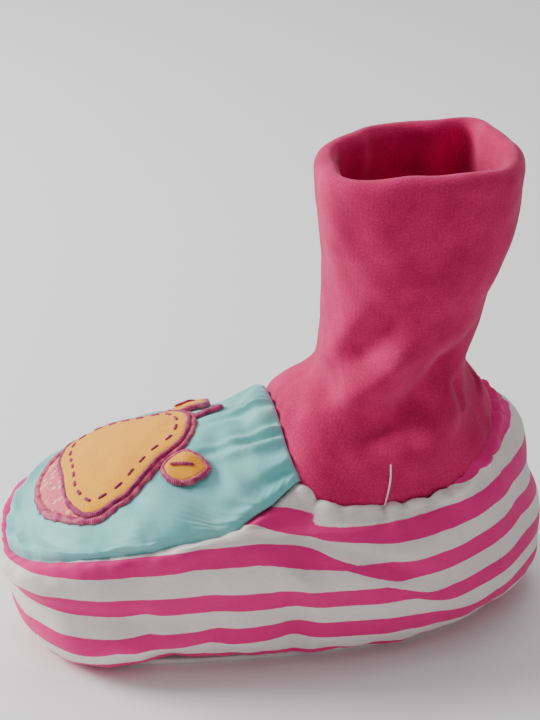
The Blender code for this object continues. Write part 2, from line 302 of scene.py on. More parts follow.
def seam_rise(turn):
    """Rise of the vamp's toe seam. It dips at the very toe."""
    return VAMP_START - TOE_DIP * bell(signed_turn(turn), DIP_WIDTH)


def rise_above_seam(share, turn):
    start = seam_rise(turn)
    return start + (1 - start) * share


def vamp_seam_line():
    side = np.linspace(1, 0, 160) ** 1.5
    toe = np.linspace(-1, 1, 220)[1:-1] * vamp_half_turn(np.array(0.0))
    turn = np.concatenate((-vamp_half_turn(side), toe, vamp_half_turn(side[::-1])))
    share = np.concatenate((side, np.zeros(len(toe)), side[::-1]))
    return Line(surface(FOOT, turn, rise_above_seam(share, turn)))


def level_line(outlines, rise, count=500):
    return Line(surface(outlines, np.linspace(0, TAU, count), np.full(count, rise)))


VAMP_SEAM = vamp_seam_line()
ANKLE_SEAM = level_line(FOOT, 1.0)
SOLE_SEAM = level_line(FOOT, 0.0)


# ---------------------------------------------------------------- relief of the foot


# Creases in the side wall: path of corners, width, height (a valley where negative)
WALL_CREASES = (
    (((-38, -30, 24), (-35, -30, 8)), 2.6, -0.9),
    (((-5, -33, 40), (6, -35, 36), (18, -35, 30), (32, -33, 24)), 2.6, -1.5),
    (((-2, -33, 36), (12, -35, 30), (24, -34, 25)), 3.4, 0.5),
    (((-12, 33, 34), (4, 35, 29), (20, 35, 27)), 3.0, -1.0),
    (((60, -16, 38), (67, 0, 33), (62, 14, 36)), 3.4, -0.8),
    (((62, -14, 16), (69, 2, 13), (63, 16, 15)), 3.6, -0.6),
)
# Round swellings of the wadding by the toe's near corner: middle, width, height
TOE_LOBES = (((-50, -26, 5), 12, 2.6), ((-30, -30, 2), 8, -1.2))


def toe_rolls(turn, up):
    """The slack cloth round the toe sags in two rolls with a crease between them."""
    round_toe = np.exp(-((signed_turn(turn) / 1.15) ** 6))
    crease = -1.0 * bell(up - 19.5 - 1.5 * np.sin(3 * turn), 2.6)
    rolls = 0.6 * bell(up - 26, 4.0) + 0.8 * bell(up - 11, 5.0)
    return round_toe * (crease + rolls)


def toe_lobes(points):
    total = np.zeros(len(points))
    for middle, width, height in TOE_LOBES:
        total += height * bell(np.linalg.norm(points - middle, axis=1), width)
    return total


def ankle_gathers(points, vamp_side):
    """Gathers that the elastic pulls up: long on the vamp, short and frilled on the wall."""
    distance, along = ANKLE_SEAM.near(points)
    if vamp_side:
        wave = ripple(along, 5.0, 3)
        ridge = 1 - 0.9 * np.abs(wave - 1) ** 0.8
        length = 11.0 + 4.0 * ripple(along, 13, 4)
        faded = ridge * np.exp(-((distance / length) ** 2)) * smoothstep(-1.5, 2.5, distance)
        return 1.35 * faded - 0.5 * bell(distance, 0.8)
    wave = ripple(along, 6.4, 5)
    frill = 1.2 * bell(distance - 1.7, 1.6) * (1 - 0.6 * smoothstep(0.55, 1.0, wave))
    pucker = 0.38 * wave * np.exp(-distance / 6.0)
    return frill - pucker - 0.4 * bell(distance, 0.7)


def seam_tuck(points, line, depth, width, pitch, pucker, seed, reach=3.0):
    """Cloth pulled in along a seam, with small puckers that run out from the stitches."""
    distance, along = line.near(points)
    wave = ripple(along, pitch, seed) + 0.4 * ripple(along, pitch * 0.43, seed + 1)
    return -depth * bell(distance, width) + pucker * wave * np.exp(-distance / reach)


def foot_relief(turn, rise, points, vamp_side):
    """Relief of the outer face in millimetres: seams and gathers, then swells of the cloth."""
    relief = seam_tuck(points, VAMP_SEAM, 1.25, 1.1, 5.2, 0.2, 11)
    relief += seam_tuck(points, SOLE_SEAM, 0.9, 1.2, 6.0, 0.16, 21)
    relief += ankle_gathers(points, vamp_side)
    distance, _ = VAMP_SEAM.near(points)
    if vamp_side:
        relief += 0.9 * smoothstep(0, 7, distance)
        relief += 0.30 * wave_noise(points, 22, 31) + 0.12 * wave_noise(points, 9, 32)
    else:
        relief += 0.45 * bell(distance - 3.4, 2.2)
        relief += toe_rolls(turn, FOOT_UP.at(turn, rise)) + toe_lobes(points)
        relief += folds(points, WALL_CREASES)
        relief += 0.38 * wave_noise(points * (0.6, 1, 1.6), 26, 33)
        relief += 0.12 * wave_noise(points, 10, 34)
    return relief


# ---------------------------------------------------------------- slack of the padded cover

# The cover is simulated this much larger than life, which suits the solver's step
SIM_SCALE = 5.0
SIM_ROWS = 52
SIM_COLUMNS = 200
SIM_FRAMES = 18
SIM_PRESSURE = -3.0  # negative swells a mesh whose faces run this way round
SIM_EXTRA_CLOTH = 0.05
SIM_CAP = 1.9  # millimetres
STITCHED_WITHIN = 1.3  # millimetres of a seam
MOTIF_MIDDLE = (-38.0, 3.0)
MOTIF_REACH = (26, 14)  # stiffening starts this far from the motif's middle and is whole nearer in
MOTIF_STIFFNESS = 0.85


def cover_mesh(turn, rise):
    start = surface(FOOT, turn, rise)
    seam_distance, _ = VAMP_SEAM.near(start)
    sunk = 0.8 * smoothstep(0, 6, seam_distance)
    start -= sunk[:, None] * surface_normals(FOOT, turn, rise)
    index = np.arange(SIM_ROWS * SIM_COLUMNS).reshape(SIM_ROWS, SIM_COLUMNS)
    beside = np.roll(index, -1, axis=1)
    faces = np.stack((beside[:-1], index[:-1], index[1:], beside[1:]), -1).reshape(-1, 4)
    stitched = seam_distance < STITCHED_WITHIN
    stitched[index[0]] = True
    stitched[index[-1]] = True
    return start, faces, stitched


def run_cloth(start, faces, stitched):
    """Points of the cover once its slack cloth has swelled and wrinkled between its seams."""
    scene = bpy.context.scene
    mesh = bpy.data.meshes.new("cover")
    mesh.from_pydata((start * MM * SIM_SCALE).tolist(), [], faces.tolist())
    obj = bpy.data.objects.new("cover", mesh)
    scene.collection.objects.link(obj)
    pins = obj.vertex_groups.new(name="stitched")
    pins.add([int(i) for i in np.flatnonzero(stitched)], 1.0, "REPLACE")
    modifier = obj.modifiers.new("cloth", "CLOTH")
    modifier.collision_settings.use_collision = False
    modifier.point_cache.frame_start = 1
    modifier.point_cache.frame_end = SIM_FRAMES
    cloth = modifier.settings
    cloth.quality = 6
    cloth.mass = 0.2
    cloth.tension_stiffness = 20
    cloth.compression_stiffness = 20
    cloth.shear_stiffness = 8
    cloth.bending_stiffness = 0.3
    cloth.air_damping = 2.0
    cloth.vertex_group_mass = "stitched"
    cloth.use_pressure = True
    cloth.uniform_pressure_force = SIM_PRESSURE
    cloth.shrink_min = -SIM_EXTRA_CLOTH
    cloth.effector_weights.gravity = 0
    for frame_number in range(1, SIM_FRAMES + 1):
        scene.frame_set(frame_number)
    result = obj.evaluated_get(bpy.context.evaluated_depsgraph_get()).data
    moved = np.empty(len(result.vertices) * 3, np.float32)
    result.vertices.foreach_get("co", moved)
    bpy.data.objects.remove(obj)
    bpy.data.meshes.remove(mesh)
    scene.frame_set(1)
    return moved.reshape(-1, 3) / (MM * SIM_SCALE)


def simulate_slack():
    """Tables of how far the simulated cover moves along x, y and z."""
    turn_row = np.linspace(0, TAU, SIM_COLUMNS + 1)[:-1]
    rise, turn = np.meshgrid(np.linspace(0, 1, SIM_ROWS), turn_row, indexing="ij")
    turn = turn.ravel()
    rise = rise.ravel()
    moved = run_cloth(*cover_mesh(turn, rise)) - surface(FOOT, turn, rise)
    size = np.linalg.norm(moved, axis=1, keepdims=True) + 1e-6
    moved *= SIM_CAP * np.tanh(size / SIM_CAP) / size
    grid = moved.reshape(SIM_ROWS, SIM_COLUMNS, 3)
    grid = (np.roll(grid, 1, axis=1) + 2 * grid + np.roll(grid, -1, axis=1)) / 4
    grid = np.concatenate((grid, grid[:, :1]), 1)
    return tuple(Table(grid[:, :, k]) for k in range(3))


SLACK = simulate_slack()


def slack(turn, rise):
    """How far the slack cloth has moved. The motif's layers hold the vamp stiff beneath them."""
    if not SLACK:
        return 0.0
    points = surface(FOOT, turn, rise)
    from_motif = np.linalg.norm(points[:, :2] - MOTIF_MIDDLE, axis=1)
    stiffened = MOTIF_STIFFNESS * smoothstep(*MOTIF_REACH, from_motif) * smoothstep(0.6, 0.66, rise)
    moved = np.stack([table.at(turn, rise) for table in SLACK], 1)
    return moved * (1 - stiffened)[:, None]


def foot_points(turn, rise, depth=0.0, vamp_side=False):
    """Points of the finished foot surface, this deep below its outer face."""
    turn = np.asarray(turn, float)
    rise = np.asarray(rise, float)
    points = surface(FOOT, turn, rise)
    normal = surface_normals(FOOT, turn, rise)
    relief = foot_relief(turn, rise, points, vamp_side)
    return points + slack(turn, rise) + (relief - depth)[:, None] * normal, normal


# ---------------------------------------------------------------- relief of the cuff

# Corners of the rim: degrees of turn, height, width in degrees
RIM_CORNERS = (
    (24, 1.8, 16), (78, -1.9, 34), (128, 0.6, 15), (152, -0.6, 15),
    (228, 5.0, 14), (265, 1.0, 16), (306, -2.6, 17),
)  # fmt: skip
# Folds of the fleece, stated as the wall's creases are
CUFF_FOLDS = (
    (((26, -22, 89), (20, -20, 83), (14, -14, 73)), 4.2, -2.3),
    (((18, -17, 88), (14, -13, 79), (10, -4, 67)), 3.6, 1.3),
    (((31, -23, 82), (24, -22, 75), (17, -19, 68), (8, -13, 59)), 4.0, 3.0),
    (((43, -16, 78), (36, -21, 73), (30, -23, 67), (22, -23, 60), (13, -22, 54)), 3.6, -3.3),
    (((42, -18, 66), (36, -22, 60), (28, -25, 54)), 4.6, 2.5),
    (((40, -18, 70), (39, -20, 60)), 1.9, -1.3),
    (((47, -9, 62), (48, -6, 57)), 4.5, 1.4),
    (((44, 0, 71), (45, 10, 70)), 3.0, -1.6),
    (((28, 23, 80), (20, 20, 72), (12, 12, 66)), 4.2, -2.0),
    (((36, 22, 76), (28, 24, 68), (18, 23, 60)), 4.0, 2.0),
    (((44, 14, 72), (36, 22, 65), (26, 24, 58)), 3.6, -1.9),
    (((54, -6, 96), (50, -12, 88), (46, -15, 80)), 5.0, -0.9),
    (((10, 4, 104), (11, 10, 92), (12, 8, 80)), 6.0, -0.8),
)


def cuff_relief(turn, rise, points):
    up = CUFF_UP.at(turn, rise)
    relief = folds(points, CUFF_FOLDS)
    degrees = np.degrees(np.mod(turn, TAU))
    high = smoothstep(82, 114, points[:, 2])
    for corner, height, width in RIM_CORNERS:
        away = (degrees - corner + 180) % 360 - 180
        relief += high * height * bell(away, width)
    relief += 0.5 * wave_noise(points, 34, 41) * smoothstep(0, 12, up) * (1 - 0.7 * high)
    relief += 0.16 * wave_noise(points, 11, 42)
    along = CUFF_ROUND.at(turn, rise)
    gather = ripple(along, 7.0, 7) * np.exp(-up / 4.5)
    relief += 0.2 * gather - 0.4 * bell(up, 1.0)
    relief += 1.0 * bell(up - 8, 6.5) * (1 + 0.3 * np.cos(turn))
    return relief


def cuff_points(turn, rise, depth=0.0):
    """Points of the cuff. Its lower edge tucks in under the edges of the wall and the vamp."""
    turn = np.asarray(turn, float)
    rise = np.asarray(rise, float)
    points = surface(CUFF, turn, rise)
    normal = surface_normals(CUFF, turn, rise)
    relief = cuff_relief(turn, rise, points)
    tucked = CUFF_HEM * np.exp(-CUFF_UP.at(turn, rise) / 1.2)
    moved = points + (relief - depth)[:, None] * normal
    moved[:, 2] -= tucked
    side = np.mod(turn, TAU) - math.radians(97)
    dip = RIM_DIP * bell(np.cos(turn) - 1, 0.35) + RIM_LIFT * bell(side, 0.75)
    moved[:, 2] += dip * smoothstep(95, 114, points[:, 2])
    return moved, normal


# ---------------------------------------------------------------- meshes


def grid_faces(rows, columns):
    """Faces of a grid of rows by columns points, looking out of the surface."""
    i, j = np.meshgrid(np.arange(rows - 1), np.arange(columns - 1), indexing="ij")
    a = (i * columns + j).ravel()
    return np.stack((a + 1, a, a + columns, a + columns + 1), 1)


def closed_round(rows, columns):
    """For a grid whose last column lies on its first: which point each grid point becomes."""
    index = np.arange(rows * columns).reshape(rows, columns)
    index[:, -1] = index[:, 0]
    return index.ravel()


def merged(points, uv, faces, same):
    """Drops points that became others, but keeps the texture places of each face's corners."""
    kept, where = np.unique(same, return_inverse=True)
    return points[kept], uv[faces], where[faces]


def with_thickness(outer, inner, corner_uv, faces):
    """Outer and inner faces of a layer, joined round every open edge."""
    count = len(outer)
    under = faces[:, ::-1] + count
    starts = faces.ravel()
    ends = np.roll(faces, -1, axis=1).ravel()
    keys = starts * count + ends
    opposite = ends * count + starts
    open_edge = ~np.isin(keys, opposite)
    a = starts[open_edge]
    b = ends[open_edge]
    rims = np.stack((b, a, a + count, b + count), 1)
    uv = corner_uv.reshape(-1, 2)
    next_uv = np.roll(corner_uv, -1, axis=1).reshape(-1, 2)
    rim_uv = np.stack(
        (next_uv[open_edge], uv[open_edge], uv[open_edge], next_uv[open_edge]), 1
    )
    all_uv = np.concatenate((corner_uv, corner_uv[:, ::-1], rim_uv))
    return np.concatenate((outer, inner)), np.concatenate((faces, under, rims)), all_uv


TUBE_SIDES = 8


def tube(rows, uv_rows, pinched):
    """Points, texture places and faces of a tube whose rows run along it, the last on the first.

    Each end closes to a point if pinched, or else the two ends meet."""
    count = len(rows[0])
    index = np.arange(len(rows) * count).reshape(len(rows), count)
    index[-1] = index[0]
    if pinched:
        index[:, 0] = index[0, 0]
        index[:, -1] = index[0, -1]
    else:
        index[:, -1] = index[:, 0]
    faces = grid_faces(len(rows), count)
    return merged(np.concatenate(rows), np.concatenate(uv_rows), faces, index.ravel())


def mesh_object(name, points, faces, corner_uv, material):
    """An object from points in millimetres, faces and their corners' texture places.

    A face has four corners, or three where one is given twice."""
    corners = faces != np.roll(faces, -1, axis=1)
    real = corners.sum(axis=1) > 2
    corners &= real[:, None]
    sizes = corners.sum(axis=1)[real]
    starts = np.concatenate(([0], np.cumsum(sizes)[:-1]))
    mesh = bpy.data.meshes.new(name)
    mesh.vertices.add(len(points))
    mesh.vertices.foreach_set("co", (points * MM).astype(np.float32).ravel())
    mesh.loops.add(int(sizes.sum()))
    mesh.loops.foreach_set("vertex_index", faces[corners].astype(np.int32))
    mesh.polygons.add(len(sizes))
    mesh.polygons.foreach_set("loop_start", starts.astype(np.int32))
    mesh.polygons.foreach_set("use_smooth", np.ones(len(sizes), bool))
    layer = mesh.uv_layers.new(name="cloth")
    layer.data.foreach_set("uv", corner_uv[corners].astype(np.float32).ravel())
    mesh.update(calc_edges=True)
    mesh.validate()
    mesh.materials.append(material)
    obj = bpy.data.objects.new(name, mesh)
    bpy.context.scene.collection.objects.link(obj)
    return obj


def layer_object(name, outer, inner, uv, faces, material, same=None):
    if same is None:
        corner_uv = uv[faces]
    else:
        inner = merged(inner, uv, faces, same)[0]
        outer, corner_uv, faces = merged(outer, uv, faces, same)
    points, faces, corner_uv = with_thickness(outer, inner, corner_uv, faces)
    return mesh_object(name, points, faces, corner_uv, material)


# ---------------------------------------------------------------- node materials


BLACK = (0, 0, 0)
WHITE = (1, 1, 1)


class Look:
    """A material whose nodes are added one call at a time."""

    def __init__(self, name, roughness=0.9, sheen=0.0, sheen_tint=WHITE):
        self.material = bpy.data.materials.new(name)
        self.material.use_nodes = True
        self.tree = self.material.node_tree
        self.shader = self.tree.nodes["Principled BSDF"]
        self.shader.inputs["Roughness"].default_value = roughness
        self.shader.inputs["Specular IOR Level"].default_value = 0.25
        self.shader.inputs["Sheen Weight"].default_value = sheen
        self.shader.inputs["Sheen Roughness"].default_value = 0.45
        self.shader.inputs["Sheen Tint"].default_value = (*sheen_tint, 1)

    def node(self, kind, inputs=(), **settings):
        made = self.tree.nodes.new(kind)
        for key, value in settings.items():
            setattr(made, key, value)
        for key, value in dict(inputs).items():
            if isinstance(value, bpy.types.NodeSocket):
                self.tree.links.new(value, made.inputs[key])
            else:
                made.inputs[key].default_value = value
        return made

    def cloth_place(self):
        """Texture place in millimetres along the cloth."""
        return self.node("ShaderNodeUVMap", uv_map="cloth").outputs["UV"]

    def object_place(self):
        return self.node("ShaderNodeTexCoord").outputs["Object"]

    def math(self, operation, a, b=0.5):
        return self.node("ShaderNodeMath", {0: a, 1: b}, operation=operation).outputs[0]

    def noise(self, place, scale, detail=3.0, roughness=0.5):
        inputs = {"Vector": place, "Scale": scale, "Detail": detail, "Roughness": roughness}
        return self.node("ShaderNodeTexNoise", inputs).outputs["Fac"]

    def cells(self, place, scale, randomness=1.0):
        inputs = {"Vector": place, "Scale": scale, "Randomness": randomness}
        return self.node("ShaderNodeTexVoronoi", inputs).outputs["Distance"]

    def ramp(self, value, stops):
        made = self.node("ShaderNodeValToRGB", {"Fac": value})
        ramp = made.color_ramp
        while len(ramp.elements) < len(stops):
            ramp.elements.new(0.5)
        for element, (position, colour) in zip(ramp.elements, stops):
            element.position = position
            element.color = (*colour, 1)
        return made.outputs["Color"]

    def mix(self, share, a, b, blend="MIX"):
        a, b = ((*value, 1) if isinstance(value, tuple) else value for value in (a, b))
        inputs = {0: share, 6: a, 7: b}
        return self.node("ShaderNodeMix", inputs, data_type="RGBA", blend_type=blend).outputs[2]

    def blend(self, value, low, high, a, b):
        """Colour a where the value is below low, colour b where it is above high."""
        return self.mix(self.ramp(value, ((low, BLACK), (high, WHITE))), a, b)

    def tinted(self, share, base, value, low, high):
        """The base times a ramp of the value between two stops of position and colour."""
        return self.mix(share, base, self.ramp(value, (low, high)), "MULTIPLY")

    def mottled(self, value, colour, darkness):
        """The colour, times the darkness where the value is low."""
        dark = tuple(darkness * part for part in colour)
        return self.ramp(value, ((0.35, dark), (0.65, colour)))

    def colour(self, value):
        self.tree.links.new(value, self.shader.inputs["Base Color"])

    def bump(self, height, strength=0.5, distance=0.0002, under=None):
        inputs = {"Height": height, "Strength": strength, "Distance": distance}
        if under is not None:
            inputs["Normal"] = under
        return self.node("ShaderNodeBump", inputs).outputs["Normal"]

    def surface_normal(self, value):
        self.tree.links.new(value, self.shader.inputs["Normal"])


def scaled(look, place, x, y, z=1.0):
    made = look.node("ShaderNodeVectorMath", {0: place, 1: (x, y, z)}, operation="MULTIPLY")
    return made.outputs["Vector"]


def weave(look, place, pitch):
    """Height of a plain weave with this thread pitch in millimetres."""
    parts = look.node("ShaderNodeSeparateXYZ", {"Vector": place})
    across = look.math("SINE", look.math("MULTIPLY", parts.outputs["X"], TAU / pitch))
    along = look.math("SINE", look.math("MULTIPLY", parts.outputs["Y"], TAU / pitch))
    return look.math("MULTIPLY", across, along)


def fleece_look(name, deep, bright):
    """Brushed knit: soft patches of light and shade, rows of small stitches and a short nap."""
    look = Look(name, roughness=0.95, sheen=0.35, sheen_tint=(1.0, 0.38, 0.52))
    place = look.cloth_place()
    stitches = look.cells(scaled(look, place, 0.95, 1.05), 1.0, randomness=0.3)
    patches = look.noise(place, 0.12, 4)
    nap = look.noise(place, 2.6, 3, 0.6)
    base = look.blend(patches, 0.3, 0.7, deep, bright)
    base = look.tinted(0.35, base, stitches, (0.12, WHITE), (0.5, (0.8, 0.74, 0.76)))
    flecks = ((0.35, (0.74, 0.68, 0.7)), (0.65, (1.16, 1.2, 1.18)))
    look.colour(look.tinted(0.75, base, nap, *flecks))
    rows = look.bump(look.math("SUBTRACT", 1.0, stitches), 0.2, 0.00018)
    look.surface_normal(look.bump(nap, 0.55, 0.0002, rows))
    return look.material


STRIPE = 5.0  # width in millimetres
EDGE_SHARE = 0.012  # of a pink and a white stripe together, over which the colour changes
PINK_STRIPE = (0.80, 0.020, 0.22)
WHITE_STRIPE = (0.84, 0.755, 0.73)


def striped_look():
    """Cotton with woven stripes of equal width, counted up from the sole edge."""
    look = Look("striped_cotton", roughness=0.85, sheen=0.15)
    place = look.cloth_place()
    parts = look.node("ShaderNodeSeparateXYZ", {"Vector": place})
    wander = look.math("MULTIPLY", look.math("SUBTRACT", look.noise(place, 0.35, 2), 0.5), 0.35)
    height = look.math("ADD", parts.outputs["Y"], wander)
    cycle = look.math("FRACT", look.math("DIVIDE", height, 2 * STRIPE))
    stops = (
        (0.0, WHITE_STRIPE), (EDGE_SHARE, PINK_STRIPE), (0.5 - EDGE_SHARE, PINK_STRIPE),
        (0.5 + EDGE_SHARE, WHITE_STRIPE), (1.0, WHITE_STRIPE),
    )  # fmt: skip
    base = look.ramp(cycle, stops)
    patches = look.noise(place, 0.09, 4)
    base = look.tinted(0.8, base, patches, (0.3, (0.9, 0.87, 0.89)), (0.7, (1.05, 1.05, 1.05)))
    threads = weave(look, place, 0.55)
    slub = look.noise(scaled(look, place, 0.6, 5.0), 1.0, 2)
    look.colour(look.tinted(0.35, base, slub, (0.35, (0.8, 0.78, 0.79)), (0.6, WHITE)))
    fine = look.bump(threads, 0.25, 0.00008)
    look.surface_normal(look.bump(slub, 0.25, 0.00012, fine))
    return look.material


def satin_look():
    """Pale aqua cotton satin with faint clouds of paler, yellower aqua and a fine weave. The clouds
    are partly the cloth's uneven tone and partly painted sheen.
    """
    look = Look("aqua_satin", roughness=0.48, sheen=0.5, sheen_tint=(0.95, 1, 1))
    place = look.cloth_place()
    clouds = look.noise(place, 0.06, 5)
    # Clouds of paler, yellower aqua: partly the cloth's uneven tone, partly painted sheen
    shades = ((0.3, (0.15, 0.55, 0.55)), (0.55, (0.23, 0.62, 0.59)), (0.75, (0.34, 0.66, 0.58)))
    base = look.ramp(clouds, shades)
    slub = look.noise(scaled(look, place, 3.5, 0.5), 1.0, 2)
    look.colour(look.tinted(0.3, base, slub, (0.35, (0.86, 0.9, 0.9)), (0.6, WHITE)))
    fine = look.bump(weave(look, place, 0.5), 0.2, 0.00006)
    look.surface_normal(look.bump(slub, 0.2, 0.0001, fine))
    return look.material


def felt_look():
    """Mustard felt with tangled fibres."""
    look = Look("mustard_felt", roughness=0.95, sheen=0.4, sheen_tint=(1, 0.85, 0.6))
    place = look.cloth_place()
    fibres = look.noise(place, 1.8, 5, 0.7)
    patches = look.noise(place, 0.15, 3)
    base = look.blend(fibres, 0.35, 0.65, (0.88, 0.33, 0.012), (0.96, 0.46, 0.035))
    look.colour(look.tinted(0.5, base, patches, (0.3, (0.9, 0.84, 0.8)), (0.7, (1.05, 1.03, 1))))
    look.surface_normal(look.bump(fibres, 0.5, 0.00025))
    return look.material


def print_look():
    """Pink cotton with a small speckled print."""
    look = Look("printed_cotton", roughness=0.85)
    place = look.cloth_place()
    light = look.cells(place, 0.62)
    dark = look.cells(scaled(look, place, 1.1, 0.9), 0.8)
    base = look.blend(light, 0.3, 0.42, (0.92, 0.46, 0.30), (0.80, 0.16, 0.20))
    look.colour(look.blend(dark, 0.16, 0.26, (0.42, 0.04, 0.16), base))
    look.surface_normal(look.bump(weave(look, place, 0.6), 0.3, 0.0001))
    return look.material


def thread_look(name, dark, light, pitch=0.42):
    """Satin stitch: threads lie side by side across the edge, so u runs along it."""
    look = Look(name, roughness=0.5, sheen=0.2)
    place = look.cloth_place()
    parts = look.node("ShaderNodeSeparateXYZ", {"Vector": place})
    jitter = look.math("MULTIPLY", look.noise(place, 0.8, 2), 2.5)
    phase = look.math("ADD", look.math("MULTIPLY", parts.outputs["X"], TAU / pitch), jitter)
    threads = look.math("SINE", phase)
    tone = look.noise(place, 0.55, 3)
    base = look.blend(tone, 0.4, 0.62, dark, light)
    look.colour(look.tinted(0.6, base, threads, (0.0, (0.7, 0.62, 0.67)), (0.5, WHITE)))
    look.surface_normal(look.bump(threads, 0.5, 0.00015))
    return look.material


def plain_cloth_look(name, colour, pitch=0.6):
    look = Look(name, roughness=0.9, sheen=0.1)
    place = look.cloth_place()
    look.colour(look.mottled(look.noise(place, 0.2, 4), colour, 0.86))
    look.surface_normal(look.bump(weave(look, place, pitch), 0.3, 0.0001))
    return look.material


def fibre_look(name, colour, scale=900.0):
    """Loose fibres or foam, for pieces that stay as solids inside the bootie."""
    look = Look(name, roughness=0.95)
    tone = look.noise(look.object_place(), scale, 4)
    look.colour(look.mottled(tone, colour, 0.8))
    look.surface_normal(look.bump(tone, 0.5, 0.0003))
    return look.material


# ---------------------------------------------------------------- foot pieces

# Columns and rows of the wall's belt, then rows of its flanks
WALL_GRID = (400, 60, 34)
WALL_WADDING_GRID = (160, 18, 10)
# Columns and rows
VAMP_GRID = (130, 110)
VAMP_WADDING_GRID = (50, 36)
# Rows and columns
LINING_GRID = (60, 220)
ELASTIC_GRID = (7, 260)
# Where the inner layers end: as shares of the way from the toe seam up to the ankle, or as rises
WALL_WADDING_TOP = 0.84
WALL_WADDING_BOTTOM = 0.02
WALL_WADDING_MARGIN = 0.03  # radians left clear beside the vamp
VAMP_WADDING_SHARES = (0.06, 0.88)
VAMP_WADDING_MARGIN = 0.06
LINING_RISES = (0.03, 0.92)
ELASTIC_RISES = (0.965, 0.985)


def ring_places(rows, columns, bottom, top):
    """Turn, rise, faces and joined points of a full belt round the foot that closes at the heel."""
    turn_row = np.linspace(-math.pi, math.pi, columns)
    rise, turn = np.meshgrid(np.linspace(bottom, top, rows), turn_row, indexing="ij")
    return turn.ravel(), rise.ravel(), grid_faces(rows, columns), closed_round(rows, columns)


def wall_places(belt_columns, belt_rows, side_rows, top=1.0, bottom=0.0, margin=0.0):
    """Places of the side wall: a belt that closes at the heel, its flanks going on up to the ankle.

    The belt has columns on the edges of the vamp, so that the flanks can go on from them.
    Returns turn, rise, faces, and which points are the same point."""
    half = float(vamp_half_turn(np.array(0.0))) + margin
    flank = int(belt_columns * (math.pi - half) / TAU)
    front = belt_columns - 2 * flank
    turns = np.concatenate((
        np.linspace(-math.pi, -half, flank + 1),
        np.linspace(-half, half, front + 1)[1:-1],
        np.linspace(half, math.pi, flank + 1),
    ))
    columns = len(turns)
    height, turn = np.meshgrid(np.linspace(0, 1, belt_rows), turns, indexing="ij")
    rise = bottom + (seam_rise(turn) - margin * 0.4 - bottom) * height
    faces = [grid_faces(belt_rows, columns)]
    turn = [turn.ravel()]
    rise = [rise.ravel()]
    same = [closed_round(belt_rows, columns)]
    count = belt_rows * columns
    last = (belt_rows - 1) * columns
    shares = np.linspace(0, 1, side_rows + 1)[1:] ** 1.15 * top
    width = flank + 1
    share, across = np.meshgrid(shares, np.linspace(0, 1, width), indexing="ij")
    edge = vamp_half_turn(share) + margin
    for first, turn_start in ((last, -math.pi), (last + columns - width, edge)):
        base = first + np.arange(width)
        added = count + np.arange(side_rows * width)
        index = np.concatenate((base[None], added.reshape(side_rows, width)))
        corners = (index[:-1, 1:], index[:-1, :-1], index[1:, :-1], index[1:, 1:])
        faces.append(np.stack([corner.ravel() for corner in corners], 1))
        flank_turn = turn_start + (math.pi - edge) * across
        turn.append(flank_turn.ravel())
        rise.append(rise_above_seam(share, flank_turn).ravel())
        same.append(added)
        count += side_rows * width
    same = np.concatenate(same)
    heel_ends = belt_rows * columns + np.arange(side_rows) * width
    same[heel_ends + side_rows * width + flank] = heel_ends
    return np.concatenate(turn), np.concatenate(rise), np.concatenate(faces), same


# The stripes of the side wall are counted up the cloth, in millimetres. The cloth runs with the
# surface as far as the vamp's seam, apart from these places where it is eased or folded away
EASED_SIDE = -3.0
EASED_HEEL = -2.0
EASED_TOE = 4.2
FOLDED_AWAY = 4.4
FOLD_START = math.radians(88)
FOLD_TOP = 41.0
FOLD_SLOPE = 43.0  # millimetres that the fold falls for each radian
FOLD_LEAN = 0.93  # radians that the turn of an upright line falls over the whole rise
FOLD_SPREAD = 40.0  # millimetres that the fold would widen over the whole rise
# Height up the cloth at the ankle seam, at the sides and at the heel, and the turns between which
# it changes from one to the other
SIDE_TOP = 49.8
HEEL_TOP = 54.7
HEEL_START = (math.radians(105), math.radians(134))


def eased(turn, up, past_seam):
    """How far the cloth at this place is ahead of the length up the surface."""
    from_toe = np.degrees(turn)
    side = EASED_SIDE * bell(from_toe - 78, 24) * smoothstep(24, 36, up)
    heel = EASED_HEEL * smoothstep(138, 150, from_toe)
    toe = EASED_TOE * smoothstep(21, 28, up) * bell(from_toe, 24)
    above_fold = up - (FOLD_TOP - FOLD_SLOPE * (turn - FOLD_START))
    depth = smoothstep(86, 98, from_toe) * smoothstep(140, 108, from_toe)
    width = 1.4 + 7.0 * (1 - depth) + FOLD_SPREAD * past_seam
    return side + heel + toe + FOLDED_AWAY * depth * smoothstep(-width, width, above_fold)


def cloth_height(turn, rise):
    """Height up the cloth that the stripes are counted by. Above the vamp's seam it is drawn evenly
    up to its height at the ankle."""
    turn = np.abs(signed_turn(turn))
    start = seam_rise(turn)
    up = FOOT_UP.at(turn, np.minimum(rise, start))
    past_seam = np.maximum(rise - start, 0)
    upright = turn + FOLD_LEAN * past_seam
    low = up + eased(upright, up, past_seam) * smoothstep(0, 8, up)
    share = np.clip((rise - start) / (1 - start), 0, 1)
    top = SIDE_TOP + (HEEL_TOP - SIDE_TOP) * smoothstep(*HEEL_START, turn)
    slant = 0.9 + 0.75 * smoothstep(math.radians(88), math.radians(60), turn)
    return low + (top - low) * share**slant


def wall_uv(turn, rise):
    """Length round the wall, below zero at its +Y side, and up its cloth."""
    around = np.sign(turn) * FOOT_ROUND.at(np.abs(turn), rise)
    return np.stack((around, cloth_height(turn, rise)), 1)


def vamp_places(columns, rows, start=0.0, top=1.0, margin=0.0):
    """Places of the vamp, or of a part that keeps a margin to its sides. No points are joined."""
    shares = start + (top - start) * np.linspace(0, 1, rows) ** 1.25
    share, across = np.meshgrid(shares, np.linspace(-1, 1, columns), indexing="ij")
    turn = across * (vamp_half_turn(share) - margin)
    return turn.ravel(), rise_above_seam(share, turn).ravel(), grid_faces(rows, columns), None


